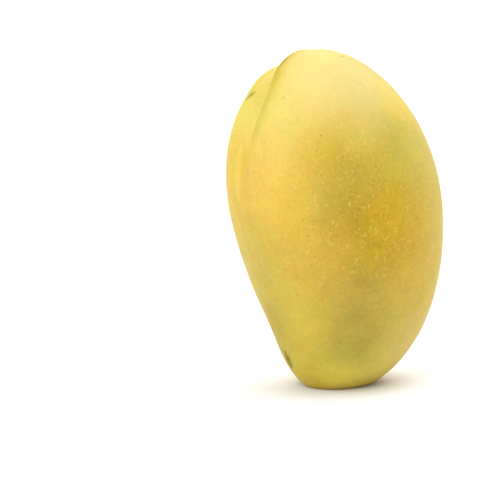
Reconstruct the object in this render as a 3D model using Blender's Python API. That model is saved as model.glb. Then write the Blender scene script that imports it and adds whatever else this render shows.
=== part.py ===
"""Mango standing on its blossom end, as one closed body. Metres, +Z up.

The ventral edge, which carries the furrow, looks along -X and the dorsal edge along +X. The two broad
cheeks look along -Y and +Y. The origin is on the surface that the fruit stands on, under the middle of
its box.
"""

import math

import bmesh
import bpy
from mathutils import Matrix, Vector

MM = 0.001

# Body: an egg of this length, whose cross-section is set at four heights along its axis, which are the
# blossom end, a third of the way up, two thirds of the way up and the stem end
LENGTH = 120.0 * MM
HEIGHTS = (-1.0, -1.0 / 3.0, 1.0 / 3.0, 1.0)
EDGE_RADIUS = (39.4 * MM, 35.6 * MM, 38.3 * MM, 34.5 * MM)  # from the axis to the ventral and dorsal edges
CHEEK_RADIUS = (30.3 * MM, 30.8 * MM, 34.7 * MM, 36.3 * MM)  # from the axis to the cheeks
AXIS_BOW = (12.0 * MM, 6.8 * MM, 2.9 * MM, 0.5 * MM)  # how far the axis bows to the dorsal side
SQUARENESS = 0.028  # how much fuller than an ellipse the cross-section is between its edges and cheeks
ROUND_POLES = 0.05  # squared part of the radius within which the poles turn round again

# Stem end: the stem sits off the axis, as a part of the cheek radius, and draws the furrow with it
STEM_OFFSET = Vector((0.0, 0.2, 0.0))
OFFSET_STARTS = 0.88  # part of the length
CAVITY_DEPTH = 1.8 * MM
CAVITY_RADIUS = 4.4 * MM
SCAR_HEIGHT = 0.7 * MM
SCAR_RADIUS = 3.2 * MM
SCAR_TOP = 0.6  # part of the scar's radius that is level

# Furrow down the ventral edge: sharp and narrow near the stem, fading out near the middle of the fruit
FURROW_DEPTH = 2.9 * MM
FURROW_STARTS = 0.42  # part of the length
FURROW_FULL = 0.95
FURROW_WIDTH = {"near": (9.0 * MM, 1.8 * MM), "far": (6.5 * MM, 3.9 * MM)}  # where it starts and is full
FURROW_SHARPNESS = (2.0, 1.2)
FURROW_REACH = 8.0 * MM  # from the stem to where the furrow is whole
LIPS_START = 0.55
LIP_HEIGHT = {"near": 1.3 * MM, "far": 0.9 * MM}
LIP_WIDTH = {"near": 7.5 * MM, "far": 8.0 * MM}

# Sinus: a shallow hollow in the ventral edge above the blossom end
SINUS_DEPTH = 1.9 * MM
SINUS_MIDDLE = 0.22  # part of the length
SINUS_HEIGHT = 0.1  # part of the length
SINUS_WIDTH = 14.0 * MM

# The relief is sunk toward this stretch of the axis
CORE = (0.33 * LENGTH, 0.72 * LENGTH)

# How the fruit stands
LEAN_VENTRAL = math.radians(3.1)
LEAN_FAR = math.radians(3.0)
PRESSED = 3.4 * MM  # how much of the blossom end the flat spot takes
SOFT_RIM = 0.4 * MM  # half the height over which the flat spot rounds into the skin

# Faces
COLUMNS = 84
RINGS = 60
COLUMN_CROWDING = 0.5  # draws columns toward the ventral edge
RING_CROWDING = 0.25  # draws rings toward the stem end

SKIN_COLOUR = (0.75, 0.53, 0.12, 1.0)
SKIN_ROUGHNESS = 0.45
TINY = 1e-12


def clear_scene():
    for thing in list(bpy.data.objects):
        bpy.data.objects.remove(thing, do_unlink=True)


def ease(value, start, end):
    """Smooth step from 0 at start to 1 at end."""
    part = min(max((value - start) / (end - start), 0.0), 1.0)
    return part * part * (3.0 - 2.0 * part)


def between(pair, part):
    return pair[0] + (pair[1] - pair[0]) * part


def through(values, height):
    """Value at a height from -1 to 1 of the smooth curve through the values at the four heights."""
    total = 0.0
    for value, own in zip(values, HEIGHTS):
        weight = 1.0
        for other in HEIGHTS:
            if other != own:
                weight *= (height - other) / (own - other)
        total += value * weight
    return total


def axis_at(height):
    """How far the axis is to the dorsal side."""
    return (1.0 - height**2) * through(AXIS_BOW, height)


def body_point(direction):
    """Point of the smooth body for a unit direction whose +Z is the stem end."""
    x, y, height = direction
    across = max(x * x + y * y, TINY)
    corner = (2.0 * x * y / across) ** 2 * min(1.0, across / ROUND_POLES)
    fuller = 1.0 + SQUARENESS * corner
    return Vector(
        (
            axis_at(height) + through(EDGE_RADIUS, height) * x * fuller,
            through(CHEEK_RADIUS, height) * y * fuller,
            LENGTH * (1.0 + height) / 2.0,
        )
    )


def drawn_to_stem(direction):
    """The direction, shifted near the stem end so that +Z lands on the stem."""
    part = (1.0 + direction.z) / 2.0
    return (direction + STEM_OFFSET * ease(part, OFFSET_STARTS, 1.0)).normalized()


def crowded(direction):
    """The direction with its column drawn to the ventral edge and its ring to the stem end."""
    turn = math.atan2(direction.y, direction.x)
    turn += COLUMN_CROWDING * math.sin(turn)
    tilt = math.acos(min(max(-direction.z, -1.0), 1.0))
    tilt += RING_CROWDING * math.sin(tilt)
    return Vector((math.sin(tilt) * math.cos(turn), math.sin(tilt) * math.sin(turn), -math.cos(tilt)))


def furrow(part, side, ahead):
    """How deep the furrow is at a part of the length, side metres off its line and ahead of the stem."""
    bank = "near" if side < 0.0 else "far"
    growth = ease(part, FURROW_STARTS, FURROW_FULL)
    off = abs(side) / between(FURROW_WIDTH[bank], growth)
    groove = FURROW_DEPTH * growth * math.exp(-(off ** between(FURROW_SHARPNESS, growth)))
    out = (side / LIP_WIDTH[bank]) ** 2
    lip = LIP_HEIGHT[bank] * ease(part, LIPS_START, FURROW_FULL) * out * math.exp(1.0 - out)
    return (groove - lip) * ease(ahead, 0.0, FURROW_REACH)


def sinus(part, side, ahead):
    """How deep the hollow above the blossom end is."""
    if ahead < 0.0:
        return 0.0
    off = ((part - SINUS_MIDDLE) / SINUS_HEIGHT) ** 2 + (side / SINUS_WIDTH) ** 2
    return SINUS_DEPTH * math.exp(-off)


def stem_cavity(part, distance):
    """How deep the skin is sunk round the stem scar, less the scar's own height."""
    if part < OFFSET_STARTS:
        return 0.0
    cavity = CAVITY_DEPTH * math.exp(-((distance / CAVITY_RADIUS) ** 2))
    scar = SCAR_HEIGHT * (1.0 - ease(distance, SCAR_TOP * SCAR_RADIUS, SCAR_RADIUS))
    return cavity - scar


def skin_point(direction):
    """Point of the skin, with its relief, before the fruit is stood up."""
    point = body_point(drawn_to_stem(direction))
    ring = math.hypot(direction.x, direction.y)
    line = body_point(drawn_to_stem(Vector((-ring, 0.0, direction.z))))
    stem = body_point(drawn_to_stem(Vector((0.0, 0.0, 1.0))))
    part = (1.0 + direction.z) / 2.0
    side = point.y - line.y
    ahead = stem.x - point.x
    distance = math.hypot(point.x - stem.x, point.y - stem.y)
    depth = furrow(part, side, ahead) + sinus(part, side, ahead) + stem_cavity(part, distance)
    height = min(max(point.z, CORE[0]), CORE[1])
    core = Vector((axis_at(2.0 * point.z / LENGTH - 1.0), 0.0, height))
    return point + (core - point).normalized() * depth


def pressed_flat(height):
    """Height after the blossom end is pressed flat, with a soft rim."""
    if height < -SOFT_RIM:
        return 0.0
    if height < SOFT_RIM:
        return (height + SOFT_RIM) ** 2 / (4.0 * SOFT_RIM)
    return height


def stand_up(mesh):
    """Leans the fruit, presses its flat spot and puts the middle of its box over the origin."""
    lean = Matrix.Rotation(-LEAN_FAR, 3, "X") @ Matrix.Rotation(-LEAN_VENTRAL, 3, "Y")
    for vert in mesh.verts:
        vert.co = lean @ vert.co
    lowest = min(vert.co.z for vert in mesh.verts)
    for vert in mesh.verts:
        vert.co.z = pressed_flat(vert.co.z - lowest - PRESSED)
    for axis in (0, 1):
        places = [vert.co[axis] for vert in mesh.verts]
        middle = (min(places) + max(places)) / 2.0
        for vert in mesh.verts:
            vert.co[axis] -= middle


def skin_material():
    material = bpy.data.materials.new("mango_skin")
    material.use_nodes = True
    shader = material.node_tree.nodes["Principled BSDF"]
    shader.inputs["Base Color"].default_value = SKIN_COLOUR
    shader.inputs["Roughness"].default_value = SKIN_ROUGHNESS
    shader.inputs["Metallic"].default_value = 0.0
    material.diffuse_color = SKIN_COLOUR
    return material


def make_mango():
    mesh = bmesh.new()
    bmesh.ops.create_uvsphere(mesh, u_segments=COLUMNS, v_segments=RINGS, radius=1.0)
    for vert in mesh.verts:
        vert.co = skin_point(crowded(vert.co.normalized()))
    stand_up(mesh)
    bmesh.ops.recalc_face_normals(mesh, faces=mesh.faces)
    data = bpy.data.meshes.new("mango")
    mesh.to_mesh(data)
    mesh.free()
    data.shade_smooth()
    data.materials.append(skin_material())
    mango = bpy.data.objects.new("mango", data)
    bpy.context.scene.collection.objects.link(mango)
    return mango


clear_scene()
make_mango()
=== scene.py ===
"""Looks of the mango: its skin as a fine mesh with a procedural material, a floor, light and a camera.

Everything is in metres, +Z up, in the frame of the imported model. The ventral edge of the fruit, which
carries the furrow, looks along -X.
"""

import math

import bpy
import numpy as np
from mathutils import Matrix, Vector


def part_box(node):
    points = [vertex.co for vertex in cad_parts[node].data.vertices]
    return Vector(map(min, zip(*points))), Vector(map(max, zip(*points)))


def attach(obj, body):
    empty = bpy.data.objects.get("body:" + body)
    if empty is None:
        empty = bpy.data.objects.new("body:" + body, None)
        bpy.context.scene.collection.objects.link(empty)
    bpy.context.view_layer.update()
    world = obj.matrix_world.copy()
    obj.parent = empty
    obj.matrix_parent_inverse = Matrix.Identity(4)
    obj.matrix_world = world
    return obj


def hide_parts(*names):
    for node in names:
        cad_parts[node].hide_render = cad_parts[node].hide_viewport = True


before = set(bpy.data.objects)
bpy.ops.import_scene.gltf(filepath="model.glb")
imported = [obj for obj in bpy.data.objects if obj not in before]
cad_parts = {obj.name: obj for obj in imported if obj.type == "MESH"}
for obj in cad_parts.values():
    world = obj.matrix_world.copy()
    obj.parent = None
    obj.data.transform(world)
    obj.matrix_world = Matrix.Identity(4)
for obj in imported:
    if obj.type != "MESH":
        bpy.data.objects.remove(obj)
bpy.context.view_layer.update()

MM = 0.001
TINY = 1e-12
NOISE_MIDDLE = 0.5
WHITE = (1.0, 1.0, 1.0, 1.0)

# Body: an egg of this length, whose cross-section is set at four heights along its axis, which are the
# blossom end, a third of the way up, two thirds of the way up and the stem end
LENGTH = 120.0 * MM
HEIGHTS = (-1.0, -1.0 / 3.0, 1.0 / 3.0, 1.0)
EDGE_RADIUS = (39.4 * MM, 35.6 * MM, 38.3 * MM, 34.5 * MM)  # from the axis to the ventral and dorsal edges
CHEEK_RADIUS = (30.3 * MM, 30.8 * MM, 34.7 * MM, 36.3 * MM)  # from the axis to the cheeks
AXIS_BOW = (12.0 * MM, 6.8 * MM, 2.9 * MM, 0.5 * MM)  # how far the axis bows to the dorsal side
SQUARENESS = 0.028  # how much fuller than an ellipse the cross-section is between its edges and cheeks
ROUND_POLES = 0.05  # squared part of the radius within which the poles turn round again

# Stem end: the stem sits off the axis, as a part of the cheek radius, and draws the furrow with it
STEM_OFFSET = (0.0, 0.2, 0.0)
OFFSET_STARTS = 0.88  # part of the length
CAVITY_DEPTH = 1.8 * MM
CAVITY_RADIUS = 4.4 * MM
SCAR_HEIGHT = 0.7 * MM
SCAR_RADIUS = 3.2 * MM
SCAR_TOP = 0.6  # part of the scar's radius that is level

# Furrow down the ventral edge: sharp and narrow near the stem, fading out near the middle of the fruit
FURROW_DEPTH = 2.9 * MM
FURROW_STARTS = 0.42  # part of the length
FURROW_FULL = 0.95
FURROW_WIDTH = {"near": (9.0 * MM, 1.8 * MM), "far": (6.5 * MM, 3.9 * MM)}  # where it starts and is full
FURROW_SHARPNESS = (2.0, 1.2)
FURROW_REACH = 8.0 * MM  # from the stem to where the furrow is whole
LIPS_START = 0.55
LIP_HEIGHT = {"near": 1.3 * MM, "far": 0.9 * MM}
LIP_WIDTH = {"near": 7.5 * MM, "far": 8.0 * MM}

# Sinus: a shallow hollow in the ventral edge above the blossom end
SINUS_DEPTH = 1.9 * MM
SINUS_MIDDLE = 0.22  # part of the length
SINUS_HEIGHT = 0.1  # part of the length
SINUS_WIDTH = 14.0 * MM

# The relief is sunk toward this stretch of the axis
CORE = (0.33 * LENGTH, 0.72 * LENGTH)

# How the fruit stands
LEAN_VENTRAL = math.radians(3.1)
LEAN_FAR = math.radians(3.0)
PRESSED = 3.4 * MM  # how much of the blossom end the flat spot takes
SOFT_RIM = 0.4 * MM  # half the height over which the flat spot rounds into the skin

# Fine faces
COLUMNS = 360
RINGS = 270
COLUMN_CROWDING = 0.5  # draws columns toward the ventral edge
RING_CROWDING = 0.25  # draws rings toward the stem end

# Fine relief: sizes of the waves, their heights, how many there are and their seeds
WAVES = (
    (34.0 * MM, 0.22 * MM, 9, 11),
    (12.0 * MM, 0.07 * MM, 14, 12),
    (4.5 * MM, 0.025 * MM, 24, 13),
)
WAVE_SPREAD = (0.75, 1.3)  # shortest and longest wave, as parts of the size
CALM_BASE = 9.0 * MM  # the relief fades out below this height
PUCKERS = 9  # how many there are round the stem
PUCKER_HEIGHT = 0.12 * MM
PUCKER_REACH = 5.5 * MM
PUCKER_WOBBLE = 2.5  # how far they stray from an even spacing, in radians of their wave
PUCKER_WAVES = 6
PUCKER_SEED = 14

# Painted shade: a darker band along the furrow, where shade falls in the groove: its side of the furrow's
# line, low and high up, and its widths there
FURROW_SHADE_SIDE = (-2.4 * MM, -6.0 * MM)
FURROW_SHADE_WIDTH = {"near": (3.4 * MM, 2.7 * MM), "far": (2.2 * MM, 2.0 * MM)}
FURROW_SHADE_CLIMB = (0.70, 0.82)  # parts of the length between which it changes sides
FURROW_SHADE_PARTS = (0.44, 0.66)  # parts of the length between which it comes in
FURROW_SHADE_DARKNESS = (0.07, 0.16)
FURROW_SHADE_WAX = 3.0  # part of the wax and painted sheen that the painted shade band takes away, against the part of the light that it takes

# Painted highlight: a paler, waxier stretch of the furrow's far bank, which faces the light beside the
# furrow's painted shade: its ends and its reach to each side in mm, and what it adds
LIT_BANK = ((-36.4, 3.8, 84.0), (-37.6, 3.8, 66.0), 3.4)
LIT_BANK_LIGHT = 0.08
LIT_BANK_SHEEN = 0.10

# Skin colours, from orange blush over gold to green, and the hue between them from 0 to 1. Each patch has
# its middle and its reach in mm, and what it adds: below zero toward orange, above zero toward green
SKIN_COLOURS = (
    (0.0, (0.68, 0.394, 0.006)),
    (0.5, (0.63, 0.428, 0.010)),
    (1.0, (0.57, 0.468, 0.016)),
)
HUE = 0.47
HUE_PATCHES = (
    # Orange blush on the ventral edge and the near cheek
    ((-36, -12, 70), 24, -0.40),
    ((-37, -3, 80), 16, -0.20),
    ((-30, -21, 82), 18, -0.20),
    ((-24, -24, 50), 20, -0.42),
    ((-27, -16, 39), 18, -0.20),
    ((-3, -33, 58), 24, -0.30),
    ((6, -32, 48), 20, -0.20),
    ((-20, -23, 96), 12, -0.20),
    # Green round the stem, down the dorsal side of the near cheek and at the blossom end
    ((-31, -10, 98), 24, 0.42),
    ((-31, 9, 98), 21, 0.40),
    ((-4, 4, 114), 24, 0.50),
    ((-12, -15, 110), 22, 0.20),
    ((1, -29, 90), 24, 0.30),
    ((14, -28, 82), 20, 0.30),
    ((30, -20, 62), 24, 0.20),
    ((-35, -4, 51), 15, 0.15),
    ((-28, -6, 32), 26, 0.40),
    ((-10, -22, 17), 28, 0.25),
    ((9, -23, 16), 24, 0.15),
    ((-20, -2, 11), 18, 0.25),
    ((-6, -18, 6), 20, 0.50),
    # Far cheek and dorsal edge
    ((-6, 30, 66), 26, -0.45),
    ((16, 24, 40), 22, -0.25),
    ((33, 2, 46), 24, -0.30),
    ((34, 4, 84), 26, 0.35),
    ((14, 14, 12), 22, 0.35),
    ((-22, 22, 92), 20, 0.25),
)
HUE_MOTTLES = ((9.0 * MM, 0.40), (3.2 * MM, 0.30))

# Lightness of the skin colours, with patches that add to it or take from it
LIGHTNESS = 0.84
TONE_LIGHT_AND_SHADE_PATCHES = (
    # Paler shoulders, ventral edge and blossom end, partly the skin's own tone and partly painted light:
    # toward the top where the light falls, and at the blossom end for light thrown up from the floor
    ((-15, -25, 96), 22, 0.18),
    ((-32, -14, 92), 24, 0.22),
    ((-33, -19, 69), 24, 0.16),
    ((12, -22, 102), 18, 0.24),
    ((-21, -10, 108), 20, 0.10),
    ((-33, 8, 95), 18, 0.14),
    ((-37, 3, 76), 16, 0.06),
    ((-22, -11, 20), 16, 0.10),
    ((4, -18, 9), 16, 0.20),
    ((-18, -5, 8), 14, 0.06),
    ((-8, -15, 3), 14, 0.40),
    # Darker middle of the near cheek and sinus, partly the skin's own tone and partly painted shade: on the
    # cheek where it faces the dim side of the room, and at the sinus and lower ventral edge for the shade of
    # a neighbouring fruit that is not modelled
    ((-26, -26, 74), 16, -0.05),
    ((-17, -30, 65), 18, -0.14),
    ((-7, -31, 46), 20, -0.10),
    ((-10, -27, 31), 20, -0.16),
    ((-9, -23, 17), 20, -0.15),
    ((4, -26, 20), 16, -0.05),
    ((-33, -2, 45), 24, -0.12),
    ((-23, -1, 19), 20, -0.15),
    ((-26, 6, 24), 24, -0.08),
    # Far cheek and dorsal edge
    ((8, 32, 84), 24, 0.14),
    ((2, 20, 98), 24, 0.12),
    ((-14, 28, 42), 22, -0.14),
    ((36, -4, 64), 22, -0.08),
)
LIGHTNESS_MOTTLES = ((7.0 * MM, 0.10), (2.4 * MM, 0.08), (0.8 * MM, 0.05))

# Wax bloom, a thin pale film, partly real bloom and partly painted sheen: its patches make it stronger on
# the top and the upper rims, where light reflects off the skin
WAX_AND_SHEEN_COLOUR = (0.72, 0.62, 0.30)
WAX = 0.12
WAX_AND_SHEEN_PATCHES = (
    ((-12, -24, 103), 26, 0.42),
    ((-31, -12, 95), 24, 0.22),
    ((-19, -24, 94), 18, -0.06),
    ((-20, -9, 110), 18, 0.16),
    ((-6, 4, 113), 24, 0.32),
    ((10, -12, 106), 24, 0.24),
    ((20, -20, 86), 24, 0.10),
    ((-33, 8, 95), 20, 0.14),
    ((-36, -14, 74), 22, 0.08),
    ((-4, -32, 58), 28, -0.14),
    ((14, -19, 15), 22, 0.18),
    ((-4, -16, 3), 16, 0.10),
    ((-26, 6, 24), 24, -0.10),
    ((22, 18, 98), 26, 0.25),
)
WAX_MOTTLE = 6.0 * MM
WAX_CHANGE = 0.03

# The middles of the two cheeks, which show the most dots and flecks
CHEEKS = (
    ((-12, -34, 70), 54, 0.85),
    ((4, 34, 60), 46, 0.6),
)

# Lenticels, the small pale dots, each in a faint dark halo
LENTICELS = 0.5
LENTICEL_SPACING = 1.6 * MM
LENTICEL_REACH = (0.10, 0.30)  # parts of the spacing
LENTICEL_SHARE = (0.2, 0.9, 0.2, 1.0)  # two chances, and how strong a dot is at each
LENTICEL_EDGE = (1.0, 0.35)  # parts of a dot's own reach
LENTICEL_COLOUR = (0.86, 0.70, 0.16)
LENTICEL_PALENESS = 0.26
LENTICEL_HEIGHT = 0.03 * MM
LENTICEL_ROUGHNESS = 0.1
HALO_EDGES = ((2.4, 1.2), (0.7, 1.1))  # outer and inner, in parts of the dot's own reach
HALO_DARKNESS = 0.08
HALO_DEPTH = 0.012 * MM

# Flecks, short crooked ridges with painted shade along one side, in clusters. A ridge follows a level of a
# soft noise. The breaks and clusters have their size, and the levels of noise between which flecks set in
FLECK_SIZE = 2.4 * MM
FLECK_DETAIL = 1.0
FLECK_BAND = 0.095  # how far from its level of noise a ridge reaches
FLECK_SHADE_SIDE = 0.12  # how far the painted shade side's level is above the ridge's
FLECK_BREAKS = (1.4 * MM, 0.51, 0.60)
FLECK_CLUSTERS = (6.0 * MM, 0.36, 0.54, 0.35, 1.0)  # also how strong flecks are between clusters and in them
FLECKS = 0.3
FLECK_COLOUR = (0.88, 0.66, 0.12)
FLECK_PALENESS = 0.28
FLECK_SHADE_DARKNESS = 0.18
FLECK_HEIGHT = 0.025 * MM
CROOKED_SIZE = 1.3 * MM
CROOKED = 0.4 * MM

# Marks: sparse random specks, then specks and streaks in their places in mm, with their reach and strength.
# The last streak is a painted shade line along the top of the furrow
SPECK_SPACING = 13.0 * MM
SPECK_REACH = (0.04, 0.012)  # parts of the spacing
SPECK_SHARE = (0.6, 0.7)  # chances from which a cell has a faint speck and a full one
SPECK_STRENGTH = 0.6
SPECKS = (
    ((-3.4, -8.7, 113.9), 0.9, 0.6),
    ((-28.5, -10.6, 100.9), 0.8, 0.4),
    ((-22.8, -24.5, 88.9), 0.7, 0.5),
    ((-8.6, -24.5, 22.0), 0.7, 0.5),
    ((-16.1, -14.6, 10.2), 0.7, 0.5),
    ((-26.7, -15.3, 35.3), 0.8, 0.5),
)
STREAKS_AND_SHADE_LINE = (
    ((-21.0, 0.2, 12.6), (-18.8, -0.5, 7.0), 3.2, 1.0),
    ((-30.2, 9.8, 99.6), (-28.3, 7.2, 102.1), 1.6, 0.8),
    # painted shade: a dark line along the top of the furrow, where the near lip hides the groove
    ((-18.2, 2.0, 114.1), (-24.0, 0.8, 109.0), 1.3, 0.9),
)
STREAK_ENDS = 0.35  # part of its reach that a streak keeps at its ends
MARK_BREAKS = (1.1 * MM, 0.30, 0.46)  # size, and levels of noise between which the mark sets in
MARK_AND_SHADE_COLOUR = (0.14, 0.14, 0.004)
MARK_AND_SHADE_DARKNESS = 0.88
MARK_ROUGHNESS = 0.4
MARK_DEPTH = 0.04 * MM
MARK_WANDER = 0.5 * MM

# Stem scar
SCAR_RAGGED_SIZE = 1.6 * MM
SCAR_RAGGED = 0.7 * MM
SCAR_EDGE = (1.1 * SCAR_RADIUS, 0.85 * SCAR_RADIUS)
SCAR_PIT = (1.5 * MM, 0.45 * MM)  # radius and depth
STAIN_EDGE = (2.8 * SCAR_RADIUS, 0.9 * SCAR_RADIUS)
STAIN_COLOUR = (0.33, 0.30, 0.03)
STAIN = 0.4
CORK_RING = (0.5 * SCAR_RADIUS, SCAR_RADIUS, 0.12, -0.35)  # two radii, and what is added to the cork there
CORK_DARK = (0.045, 0.026, 0.012)
CORK_PALE = (0.34, 0.22, 0.10)
CORK_GRAIN = 0.9 * MM
CORK_DETAIL = 4.0
CORK_RELIEF = 0.25 * MM
SCAR_ROUGHNESS = 0.4

# Finish
SPECULAR = 0.22
ROUGHNESS = 0.5
ROUGHNESS_MOTTLE = 5.0 * MM
ROUGHNESS_CHANGE = 0.06
WANDER_SIZE = 11.0 * MM
WANDER = 3.5 * MM
PEEL = ((2.6 * MM, 0.03 * MM), (0.7 * MM, 0.008 * MM))  # sizes and heights of the finest relief

# Camera, which looks at the middle of the fruit from in front of its near cheek and its ventral edge
FRAME_PIXELS = 480
TARGET = Vector((-0.7 * MM, -3.7 * MM, 60.0 * MM))
TARGET_PIXEL = (340.4, 212.9)  # where the photograph has the target, from its top left corner
CAMERA_DISTANCE = 620.0 * MM
CAMERA_AZIMUTH = math.radians(-35.0)
CAMERA_ELEVATION = math.radians(6.5)
FOCAL_PIXELS = 1791.6
SENSOR_WIDTH = 36.0
CLIP_START = 10.0 * MM

# Floor and light, each light with its azimuth from the camera round to the right, its elevation and its
# width in degrees, and its strength
FLOOR_SIZE = 40.0
FLOOR_PALENESS = 0.85
FLOOR_ROUGHNESS = 0.9
LIGHTS = {
    "key": (303.0, 47.0, 90.0, 3.0),
    "side": (106.0, 38.0, 80.0, 1.3),
    "back": (160.0, 66.0, 75.0, 3.0),
}
LIGHT_DISTANCE = 1.0
HORIZON_FADE = (0.1, 0.25)  # heights on the unit sphere between which the world darkens
WORLD_STRENGTH = (1.1, 0.03)
DIM_SIDE = (0.0, 0.0)  # azimuth and elevation, as for the lights
DIM_SIDE_FADE = (-0.3, 0.3)  # parts of a direction toward the dim side between which the world darkens
DIM_SIDE_STRENGTH = (1.0, 0.15)


def ease(value, start, end):
    """Smooth step from 0 at start to 1 at end."""
    part = np.clip((value - start) / (end - start), 0.0, 1.0)
    return part * part * (3.0 - 2.0 * part)


def between(pair, part):
    return pair[0] + (pair[1] - pair[0]) * part


def through(values, height):
    """Value at heights from -1 to 1 of the smooth curve through the values at the four heights."""
    total = np.zeros_like(height)
    for value, own in zip(values, HEIGHTS):
        weight = np.ones_like(height)
        for other in HEIGHTS:
            if other != own:
                weight = weight * (height - other) / (own - other)
        total = total + value * weight
    return total


def axis_at(height):
    """How far the axis is to the dorsal side."""
    return (1.0 - height**2) * through(AXIS_BOW, height)


def unit(vectors):
    return vectors / np.linalg.norm(vectors, axis=-1, keepdims=True)


def body_points(directions):
    """Points of the smooth body for unit directions whose +Z is the stem end."""
    x, y, height = directions.T
    across = np.maximum(x * x + y * y, TINY)
    corner = (2.0 * x * y / across) ** 2 * np.minimum(1.0, across / ROUND_POLES)
    fuller = 1.0 + SQUARENESS * corner
    return np.stack(
        (
            axis_at(height) + through(EDGE_RADIUS, height) * x * fuller,
            through(CHEEK_RADIUS, height) * y * fuller,
            LENGTH * (1.0 + height) / 2.0,
        ),
        axis=-1,
    )


def drawn_to_stem(directions):
    """The directions, shifted near the stem end so that +Z lands on the stem."""
    shift = ease((1.0 + directions[:, 2]) / 2.0, OFFSET_STARTS, 1.0)
    return unit(directions + shift[:, None] * np.array(STEM_OFFSET))


def by_bank(values, side):
    """The value of the furrow's near bank or of its far bank, for each side."""
    return np.where(side < 0.0, values["near"], values["far"])


def furrow(part, side, ahead):
    """How deep the furrow is, side metres off its line and ahead of the stem."""
    growth = ease(part, FURROW_STARTS, FURROW_FULL)
    width = {bank: between(pair, growth) for bank, pair in FURROW_WIDTH.items()}
    off = np.abs(side) / by_bank(width, side)
    groove = FURROW_DEPTH * growth * np.exp(-(off ** between(FURROW_SHARPNESS, growth)))
    out = (side / by_bank(LIP_WIDTH, side)) ** 2
    lip = by_bank(LIP_HEIGHT, side) * ease(part, LIPS_START, FURROW_FULL) * out * np.exp(1.0 - out)
    return (groove - lip) * ease(ahead, 0.0, FURROW_REACH)


def sinus(part, side, ahead):
    """How deep the hollow above the blossom end is."""
    off = ((part - SINUS_MIDDLE) / SINUS_HEIGHT) ** 2 + (side / SINUS_WIDTH) ** 2
    return SINUS_DEPTH * np.exp(-off) * (ahead >= 0.0)


def stem_cavity(part, distance):
    """How deep the skin is sunk round the stem scar, less the scar's own height."""
    cavity = CAVITY_DEPTH * np.exp(-((distance / CAVITY_RADIUS) ** 2))
    scar = SCAR_HEIGHT * (1.0 - ease(distance, SCAR_TOP * SCAR_RADIUS, SCAR_RADIUS))
    return (cavity - scar) * (part >= OFFSET_STARTS)


def beside_furrow(directions, points):
    """The part of the length that each point is at, and how far it is to the side of the furrow."""
    ring = np.hypot(directions[:, 0], directions[:, 1])
    ventral = np.stack((-ring, np.zeros_like(ring), directions[:, 2]), axis=-1)
    line = body_points(drawn_to_stem(ventral))
    return (1.0 + directions[:, 2]) / 2.0, points[:, 1] - line[:, 1]


def skin_points(directions):
    """Points of the skin, with its relief, before the fruit is stood up."""
    points = body_points(drawn_to_stem(directions))
    part, side = beside_furrow(directions, points)
    stem = body_points(drawn_to_stem(np.array([[0.0, 0.0, 1.0]])))[0]
    ahead = stem[0] - points[:, 0]
    distance = np.hypot(points[:, 0] - stem[0], points[:, 1] - stem[1])
    depth = furrow(part, side, ahead) + sinus(part, side, ahead) + stem_cavity(part, distance)
    core = np.stack(
        (
            axis_at(2.0 * points[:, 2] / LENGTH - 1.0),
            np.zeros_like(side),
            np.clip(points[:, 2], CORE[0], CORE[1]),
        ),
        axis=-1,
    )
    return points + unit(core - points) * depth[:, None]


def turned(points, angle, axis):
    """The points turned about X (axis 0) or Y (axis 1)."""
    cos, sin = math.cos(angle), math.sin(angle)
    turn = {
        0: ((1.0, 0.0, 0.0), (0.0, cos, -sin), (0.0, sin, cos)),
        1: ((cos, 0.0, sin), (0.0, 1.0, 0.0), (-sin, 0.0, cos)),
    }[axis]
    return points @ np.array(turn).T


def pressed_flat(height):
    """Heights after the blossom end is pressed flat, with a soft rim."""
    rim = (height + SOFT_RIM) ** 2 / (4.0 * SOFT_RIM)
    return np.where(height < -SOFT_RIM, 0.0, np.where(height < SOFT_RIM, rim, height))


def stood_up(points):
    """The points of the standing fruit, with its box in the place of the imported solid's."""
    points = turned(turned(points, -LEAN_VENTRAL, 1), -LEAN_FAR, 0)
    points[:, 2] = pressed_flat(points[:, 2] - points[:, 2].min() - PRESSED)
    low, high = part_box("mango")
    middle = (np.array(low) + np.array(high))[:2] / 2.0
    points[:, :2] += middle - (points[:, :2].min(axis=0) + points[:, :2].max(axis=0)) / 2.0
    return points


def sphere_grid():
    """Unit directions in rings from pole to pole, and the faces between them."""
    turn = np.arange(COLUMNS) / COLUMNS * math.tau
    turn = turn + COLUMN_CROWDING * np.sin(turn)
    tilt = np.arange(1, RINGS) / RINGS * math.pi
    tilt = tilt + RING_CROWDING * np.sin(tilt)
    tilt, turn = np.meshgrid(tilt, turn, indexing="ij")
    rings = np.stack((np.sin(tilt) * np.cos(turn), np.sin(tilt) * np.sin(turn), -np.cos(tilt)), axis=-1)
    directions = np.concatenate((rings.reshape(-1, 3), [[0.0, 0.0, -1.0]], [[0.0, 0.0, 1.0]]))
    bottom, top = len(directions) - 2, len(directions) - 1
    faces = []
    for column in range(COLUMNS):
        after = (column + 1) % COLUMNS
        faces.append((bottom, after, column))
        for ring in range(RINGS - 2):
            low, high = ring * COLUMNS, (ring + 1) * COLUMNS
            faces.append((low + column, low + after, high + after, high + column))
        last = (RINGS - 2) * COLUMNS
        faces.append((last + column, last + after, top))
    return directions, faces


def waves(points, size, count, seed):
    """A gentle relief from -1 to 1: the sum of plane waves about size metres long in random directions."""
    chance = np.random.default_rng(seed)
    total = np.zeros(len(points))
    for _ in range(count):
        way = unit(chance.normal(size=3))
        length = size * chance.uniform(*WAVE_SPREAD)
        total += np.sin(points @ way / length * math.tau + chance.uniform(0.0, math.tau))
    return total / count


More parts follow.
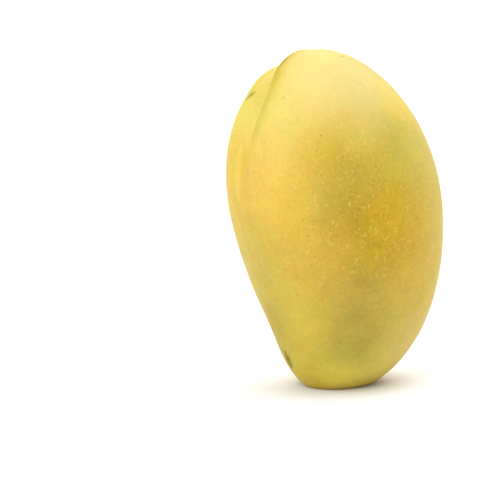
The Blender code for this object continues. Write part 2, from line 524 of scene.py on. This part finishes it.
def undulation(points, stem):
    """How far the skin stands out or in from its smooth shape, least on the flat spot."""
    height = sum(high * waves(points, size, count, seed) for size, high, count, seed in WAVES)
    distance = np.linalg.norm((points - stem)[:, :2], axis=1)
    turn = np.arctan2(points[:, 1] - stem[1], points[:, 0] - stem[0])
    upper = points[:, 2] > stem[2] - PUCKER_REACH
    near = upper * np.exp(-(((distance - SCAR_RADIUS) / PUCKER_REACH) ** 2))
    wobble = PUCKER_WOBBLE * waves(points, PUCKER_REACH, PUCKER_WAVES, PUCKER_SEED)
    height += PUCKER_HEIGHT * near * np.cos(PUCKERS * turn + wobble) * ease(distance, 0.0, SCAR_RADIUS)
    radius, depth = SCAR_PIT
    height -= depth * near * (1.0 - ease(distance, 0.0, radius))
    return height * ease(points[:, 2], 0.0, CALM_BASE)


def outward(points):
    """Rough outward directions, from the nearest point of the fruit's middle line."""
    middle = np.zeros_like(points)
    middle[:, 2] = np.clip(points[:, 2], CORE[0], CORE[1])
    return unit(points - middle)


def furrow_shade(directions):
    """How much the painted shade along the furrow takes from the light of each point."""
    part, side = beside_furrow(directions, body_points(drawn_to_stem(directions)))
    climb = ease(part, *FURROW_SHADE_CLIMB)
    off = side - between(FURROW_SHADE_SIDE, climb)
    width = by_bank({bank: between(pair, climb) for bank, pair in FURROW_SHADE_WIDTH.items()}, off)
    darkness = between(FURROW_SHADE_DARKNESS, climb) * ease(part, *FURROW_SHADE_PARTS)
    ventral = directions[:, 0] < 0.0
    return darkness * np.exp(-((off / width) ** 2)) * ventral


def make_skin():
    directions, faces = sphere_grid()
    points = stood_up(skin_points(directions))
    stem = points[-1].copy()
    points += outward(points) * undulation(points, stem)[:, None]
    mesh = bpy.data.meshes.new("mango_fruit")
    mesh.from_pydata(points.tolist(), [], faces)
    mesh.attributes.new("furrow_shade", "FLOAT", "POINT").data.foreach_set("value", furrow_shade(directions))
    mesh.validate()
    mesh.shade_smooth()
    skin = bpy.data.objects.new("mango_fruit", mesh)
    bpy.context.scene.collection.objects.link(skin)
    mesh.materials.append(skin_material(stem))
    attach(skin, "root")
    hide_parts("mango")
    return skin


class Graph:
    """Adds nodes to a material or a world. A value is a number, a colour, a vector or a node's socket."""

    def __init__(self, owner):
        owner.use_nodes = True
        self.nodes = owner.node_tree.nodes
        self.links = owner.node_tree.links

    def put(self, socket, value):
        if isinstance(value, bpy.types.NodeSocket):
            self.links.new(value, socket)
        else:
            socket.default_value = value

    def add(self, kind, inputs, **settings):
        node = self.nodes.new(kind)
        for name, value in settings.items():
            setattr(node, name, value)
        for name, value in inputs.items():
            self.put(node.inputs[name], value)
        return node

    def math(self, operation, *values):
        return self.add("ShaderNodeMath", dict(enumerate(values)), operation=operation).outputs[0]

    def total(self, *values):
        result = values[0]
        for value in values[1:]:
            result = self.math("ADD", result, value)
        return result

    def product(self, *values):
        result = values[0]
        for value in values[1:]:
            result = self.math("MULTIPLY", result, value)
        return result

    def vector(self, operation, *values, scale=None):
        inputs = dict(enumerate(values))
        if scale is not None:
            inputs["Scale"] = scale
        return self.add("ShaderNodeVectorMath", inputs, operation=operation)

    def fade(self, value, start, end, low=0.0, high=1.0):
        """Smooth change from low where value is start to high where it is end."""
        inputs = {"Value": value, "From Min": start, "From Max": end, "To Min": low, "To Max": high}
        node = self.add("ShaderNodeMapRange", inputs, interpolation_type="SMOOTHSTEP")
        return node.outputs["Result"]

    def blend(self, part, first, second):
        node = self.add("ShaderNodeMix", {"Factor": part}, data_type="RGBA")
        colours = [socket for socket in node.inputs if socket.type == "RGBA"]
        self.put(colours[0], first)
        self.put(colours[1], second)
        return next(socket for socket in node.outputs if socket.type == "RGBA")

    def noise(self, place, size, detail=2.0):
        """Noise from 0 to 1 with spots about size metres across."""
        inputs = {"Vector": place, "Scale": 1.0 / size, "Detail": detail}
        return self.add("ShaderNodeTexNoise", inputs)

    def mottle(self, place, size, amount, detail=2.0):
        """Noise about 0, as strong as amount."""
        noise = self.noise(place, size, detail).outputs["Fac"]
        return self.math("MULTIPLY_ADD", noise, 2.0 * amount, -amount)

    def cells(self, place, size):
        return self.add("ShaderNodeTexVoronoi", {"Vector": place, "Scale": 1.0 / size})

    def patches(self, place, patches):
        """Sum of soft round patches, each with its middle in mm, its reach in mm and its amount."""
        sums = []
        for middle, reach, amount in patches:
            centre = [coordinate * MM for coordinate in middle]
            distance = self.vector("DISTANCE", place, centre).outputs["Value"]
            sums.append(self.fade(distance, reach * MM, 0.0, 0.0, amount))
        return self.total(*sums)

    def spot(self, place, middle, reach, strength):
        """A soft spot with its middle and its reach in mm."""
        distance = self.vector("DISTANCE", place, [coordinate * MM for coordinate in middle])
        return self.fade(distance.outputs["Value"], reach * MM, 0.0, 0.0, strength)

    def streak(self, place, start, end, reach, strength):
        """A soft line between two points in mm, with its reach to each side in mm, less at its ends."""
        start, end = Vector(start) * MM, Vector(end) * MM
        along = end - start
        off = self.vector("SUBTRACT", place, start).outputs["Vector"]
        part = self.vector("DOT_PRODUCT", off, along / along.length_squared).outputs["Value"]
        part = self.add("ShaderNodeClamp", {"Value": part}).outputs["Result"]
        foot = self.vector("SCALE", along, scale=part).outputs["Vector"]
        distance = self.vector("DISTANCE", off, foot).outputs["Value"]
        middle = self.math("SINE", self.product(part, math.pi))
        taper = self.math("MULTIPLY_ADD", middle, 1.0 - STREAK_ENDS, STREAK_ENDS)
        return self.fade(distance, self.product(taper, reach * MM), 0.0, 0.0, strength)

    def strongest(self, values):
        result = values[0]
        for value in values[1:]:
            result = self.math("MAXIMUM", result, value)
        return result

    def wandering(self, place, size, amount):
        """The place, moved about by soft noise."""
        noise = self.vector("SUBTRACT", self.noise(place, size).outputs["Color"], [NOISE_MIDDLE] * 3)
        moved = self.vector("SCALE", noise.outputs["Vector"], scale=2.0 * amount).outputs["Vector"]
        return self.vector("ADD", place, moved).outputs["Vector"]


def lenticels(graph, place, cheeks):
    """Masks of the pale dots and of their dark halos."""
    cells = graph.cells(place, LENTICEL_SPACING)
    chance = graph.add("ShaderNodeSeparateColor", {"Color": cells.outputs["Color"]}).outputs
    reach = graph.math("MULTIPLY_ADD", chance[0], LENTICEL_REACH[1] - LENTICEL_REACH[0], LENTICEL_REACH[0])
    off = graph.math("DIVIDE", cells.outputs["Distance"], reach)
    dot = graph.product(
        graph.fade(off, *LENTICEL_EDGE),
        graph.fade(chance[1], *LENTICEL_SHARE),
        graph.total(LENTICELS, cheeks),
    )
    halo = graph.product(*[graph.fade(off, *edge) for edge in HALO_EDGES])
    return dot, halo


def flecks(graph, place, cheeks):
    """Masks of the pale ridges of the flecks and of the painted shade along their sides."""
    crooked = graph.wandering(place, CROOKED_SIZE, CROOKED)
    level = graph.noise(crooked, FLECK_SIZE, FLECK_DETAIL).outputs["Fac"]
    size, *edges = FLECK_BREAKS
    broken = graph.fade(graph.noise(place, size).outputs["Fac"], *edges)
    size, *edges = FLECK_CLUSTERS
    clusters = graph.fade(graph.noise(place, size).outputs["Fac"], *edges)
    amount = graph.product(broken, clusters, graph.total(FLECKS, cheeks))
    masks = []
    for middle in (NOISE_MIDDLE, NOISE_MIDDLE + FLECK_SHADE_SIDE):
        off = graph.math("ABSOLUTE", graph.math("SUBTRACT", level, middle))
        masks.append(graph.product(graph.fade(off, FLECK_BAND, 0.0), amount))
    return masks


def marks_and_shade_line(graph, place):
    """Mask of the specks and streaks, with the painted shade line along the top of the furrow."""
    cells = graph.cells(place, SPECK_SPACING)
    some = graph.add("ShaderNodeSeparateColor", {"Color": cells.outputs["Color"]}).outputs[0]
    random = graph.product(
        graph.fade(cells.outputs["Distance"], *SPECK_REACH),
        graph.fade(some, *SPECK_SHARE, 0.0, SPECK_STRENGTH),
    )
    moved = graph.wandering(place, CROOKED_SIZE, MARK_WANDER)
    placed = [graph.spot(moved, *speck) for speck in SPECKS]
    placed += [graph.streak(moved, *streak) for streak in STREAKS_AND_SHADE_LINE]
    size, *edges = MARK_BREAKS
    broken = graph.fade(graph.noise(place, size).outputs["Fac"], *edges)
    return graph.product(broken, graph.strongest([random, *placed]))


def stem_scar(graph, place, stem):
    """Masks of the stem scar and of the skin round it, and how pale the scar's cork is."""
    from_stem = graph.vector("DISTANCE", place, list(stem)).outputs["Value"]
    ragged = graph.total(from_stem, graph.mottle(place, SCAR_RAGGED_SIZE, SCAR_RAGGED))
    grain = graph.noise(place, CORK_GRAIN, CORK_DETAIL).outputs["Fac"]
    cork = graph.total(grain, graph.fade(ragged, *CORK_RING))
    return graph.fade(ragged, *SCAR_EDGE), graph.fade(ragged, *STAIN_EDGE), cork


def skin_colour(graph, place, dot, halo, ridge, shade):
    """Gold that turns to orange blush and to green, lighter and darker in patches partly as painted light
    and shade, under a thin film of wax and painted sheen, with painted shade along the furrow.
    """
    drifted = graph.wandering(place, WANDER_SIZE, WANDER)
    hue = graph.total(
        HUE,
        graph.patches(drifted, HUE_PATCHES),
        *[graph.mottle(place, size, amount) for size, amount in HUE_MOTTLES],
    )
    ramp = graph.add("ShaderNodeValToRGB", {"Fac": hue})
    stops = ramp.color_ramp.elements
    stops.new(SKIN_COLOURS[1][0])
    for stop, (spot, colour) in zip(stops, SKIN_COLOURS):
        stop.position = spot
        stop.color = (*colour, 1.0)
    light = graph.total(
        LIGHTNESS,
        # the skin's own tone, with painted light and painted shade
        graph.patches(drifted, TONE_LIGHT_AND_SHADE_PATCHES),
        # painted highlight on the far bank of the furrow
        graph.streak(place, *LIT_BANK, LIT_BANK_LIGHT),
        *[graph.mottle(place, size, amount) for size, amount in LIGHTNESS_MOTTLES],
    )
    # painted shade along the furrow, stored on the mesh
    line = graph.add("ShaderNodeAttribute", {}, attribute_name="furrow_shade").outputs["Fac"]
    light = graph.product(
        light,
        graph.math("MULTIPLY_ADD", halo, -HALO_DARKNESS, 1.0),
        # painted shade on one side of each fleck
        graph.math("MULTIPLY_ADD", shade, -FLECK_SHADE_DARKNESS, 1.0),
    )
    skin = graph.vector("SCALE", ramp.outputs["Color"], scale=light).outputs["Vector"]
    # wax bloom together with painted sheen
    wax_and_sheen = graph.total(
        WAX,
        graph.patches(drifted, WAX_AND_SHEEN_PATCHES),
        # painted sheen on the far bank of the furrow
        graph.streak(place, *LIT_BANK, LIT_BANK_SHEEN),
        graph.mottle(place, WAX_MOTTLE, WAX_CHANGE),
    )
    wax_and_sheen = graph.product(wax_and_sheen, graph.math("MULTIPLY_ADD", line, -FURROW_SHADE_WAX, 1.0))
    skin = graph.blend(wax_and_sheen, skin, (*WAX_AND_SHEEN_COLOUR, 1.0))
    # the painted shade along the furrow darkens the skin
    skin = graph.vector("SCALE", skin, scale=graph.math("SUBTRACT", 1.0, line)).outputs["Vector"]
    skin = graph.blend(graph.product(ridge, FLECK_PALENESS), skin, (*FLECK_COLOUR, 1.0))
    return graph.blend(graph.product(dot, LENTICEL_PALENESS), skin, (*LENTICEL_COLOUR, 1.0))


def skin_material(stem):
    """Waxy mango skin with painted sheen, light and shade, lenticels, flecks, marks and the cork of the stem
    scar.
    """
    material = bpy.data.materials.new("mango_skin")
    graph = Graph(material)
    shader = graph.nodes["Principled BSDF"]
    place = graph.nodes.new("ShaderNodeTexCoord").outputs["Object"]
    cheeks = graph.patches(place, CHEEKS)
    dot, halo = lenticels(graph, place, cheeks)
    ridge, shade = flecks(graph, place, cheeks)
    mark_and_shade = marks_and_shade_line(graph, place)
    scar, stain, cork = stem_scar(graph, place, stem)

    colour = skin_colour(graph, place, dot, halo, ridge, shade)
    # dark marks, and the painted shade line along the top of the furrow
    colour = graph.blend(graph.product(mark_and_shade, MARK_AND_SHADE_DARKNESS), colour, (*MARK_AND_SHADE_COLOUR, 1.0))
    colour = graph.blend(graph.product(stain, STAIN), colour, (*STAIN_COLOUR, 1.0))
    cork_colour = graph.blend(cork, (*CORK_DARK, 1.0), (*CORK_PALE, 1.0))
    graph.put(shader.inputs["Base Color"], graph.blend(scar, colour, cork_colour))
    roughness = graph.total(
        ROUGHNESS,
        graph.mottle(place, ROUGHNESS_MOTTLE, ROUGHNESS_CHANGE),
        graph.product(dot, LENTICEL_ROUGHNESS),
        graph.product(scar, SCAR_ROUGHNESS),
        graph.product(mark_and_shade, MARK_ROUGHNESS),
    )
    graph.put(shader.inputs["Roughness"], roughness)
    height = graph.total(
        graph.product(dot, LENTICEL_HEIGHT),
        graph.product(halo, -HALO_DEPTH),
        graph.product(ridge, FLECK_HEIGHT),
        graph.product(shade, -FLECK_HEIGHT),
        graph.product(mark_and_shade, -MARK_DEPTH),
        graph.product(scar, cork, CORK_RELIEF),
        *[graph.mottle(place, size, amount) for size, amount in PEEL],
    )
    bump = graph.add("ShaderNodeBump", {"Height": height, "Distance": 1.0})
    graph.put(shader.inputs["Normal"], bump.outputs["Normal"])
    shader.inputs["Specular IOR Level"].default_value = SPECULAR
    return material


def make_camera():
    """The camera, turned so that the target lands on its pixel of the photograph's frame."""
    data = bpy.data.cameras.new("camera")
    data.sensor_width = SENSOR_WIDTH
    data.lens = FOCAL_PIXELS / FRAME_PIXELS * SENSOR_WIDTH
    data.clip_start = CLIP_START
    camera = bpy.data.objects.new("camera", data)
    bpy.context.scene.collection.objects.link(camera)
    flat = math.cos(CAMERA_ELEVATION)
    back = Vector(
        (
            math.sin(CAMERA_AZIMUTH) * flat,
            -math.cos(CAMERA_AZIMUTH) * flat,
            math.sin(CAMERA_ELEVATION),
        )
    )
    camera.location = TARGET + back * CAMERA_DISTANCE
    off_x = (TARGET_PIXEL[0] - FRAME_PIXELS / 2) / FOCAL_PIXELS
    off_y = (FRAME_PIXELS / 2 - TARGET_PIXEL[1]) / FOCAL_PIXELS
    aside = Vector((off_x, off_y, -1.0)).rotation_difference(Vector((0.0, 0.0, -1.0)))
    camera.rotation_mode = "QUATERNION"
    camera.rotation_quaternion = (-back).to_track_quat("-Z", "Y") @ aside
    bpy.context.scene.camera = camera
    return camera


def make_floor():
    """A pale floor, large enough to meet the white of the world at the horizon."""
    bpy.ops.mesh.primitive_plane_add(size=FLOOR_SIZE)
    floor = bpy.context.object
    floor.name = "floor"
    material = bpy.data.materials.new("floor")
    material.use_nodes = True
    shader = material.node_tree.nodes["Principled BSDF"]
    shader.inputs["Base Color"].default_value = (*[FLOOR_PALENESS] * 3, 1.0)
    shader.inputs["Roughness"].default_value = FLOOR_ROUGHNESS
    shader.inputs["Specular IOR Level"].default_value = 0.0
    floor.data.materials.append(material)
    return floor


def toward(azimuth, elevation):
    """Unit vector at an azimuth from the camera's side, round to the right, and an elevation."""
    turn = CAMERA_AZIMUTH + math.radians(azimuth)
    rise = math.radians(elevation)
    return Vector((math.sin(turn) * math.cos(rise), -math.cos(turn) * math.cos(rise), math.sin(rise)))


def make_light(name, azimuth, elevation, width, strength):
    """A far, wide and soft light."""
    data = bpy.data.lights.new(name, "SUN")
    data.energy = strength
    data.angle = math.radians(width)
    light = bpy.data.objects.new(name, data)
    back = toward(azimuth, elevation)
    light.location = back * LIGHT_DISTANCE
    light.rotation_mode = "QUATERNION"
    light.rotation_quaternion = back.to_track_quat("Z", "Y")
    bpy.context.scene.collection.objects.link(light)
    return light


def make_world():
    """A world that is white at the horizon and darkens upward and toward the dim side of the room."""
    world = bpy.data.worlds.new("studio")
    graph = Graph(world)
    way = graph.nodes.new("ShaderNodeTexCoord").outputs["Generated"]
    height = graph.add("ShaderNodeSeparateXYZ", {"Vector": way}).outputs["Z"]
    dim = graph.vector("DOT_PRODUCT", way, toward(*DIM_SIDE)).outputs["Value"]
    strength = graph.product(
        graph.fade(height, *HORIZON_FADE, *WORLD_STRENGTH),
        graph.fade(dim, *DIM_SIDE_FADE, *DIM_SIDE_STRENGTH),
    )
    graph.put(graph.nodes["Background"].inputs["Strength"], strength)
    graph.put(graph.nodes["Background"].inputs["Color"], WHITE)
    bpy.context.scene.world = world


make_skin()
make_floor()
make_world()
for name, light in LIGHTS.items():
    make_light(name, *light)
make_camera()
bpy.context.scene.view_settings.view_transform = "Standard"
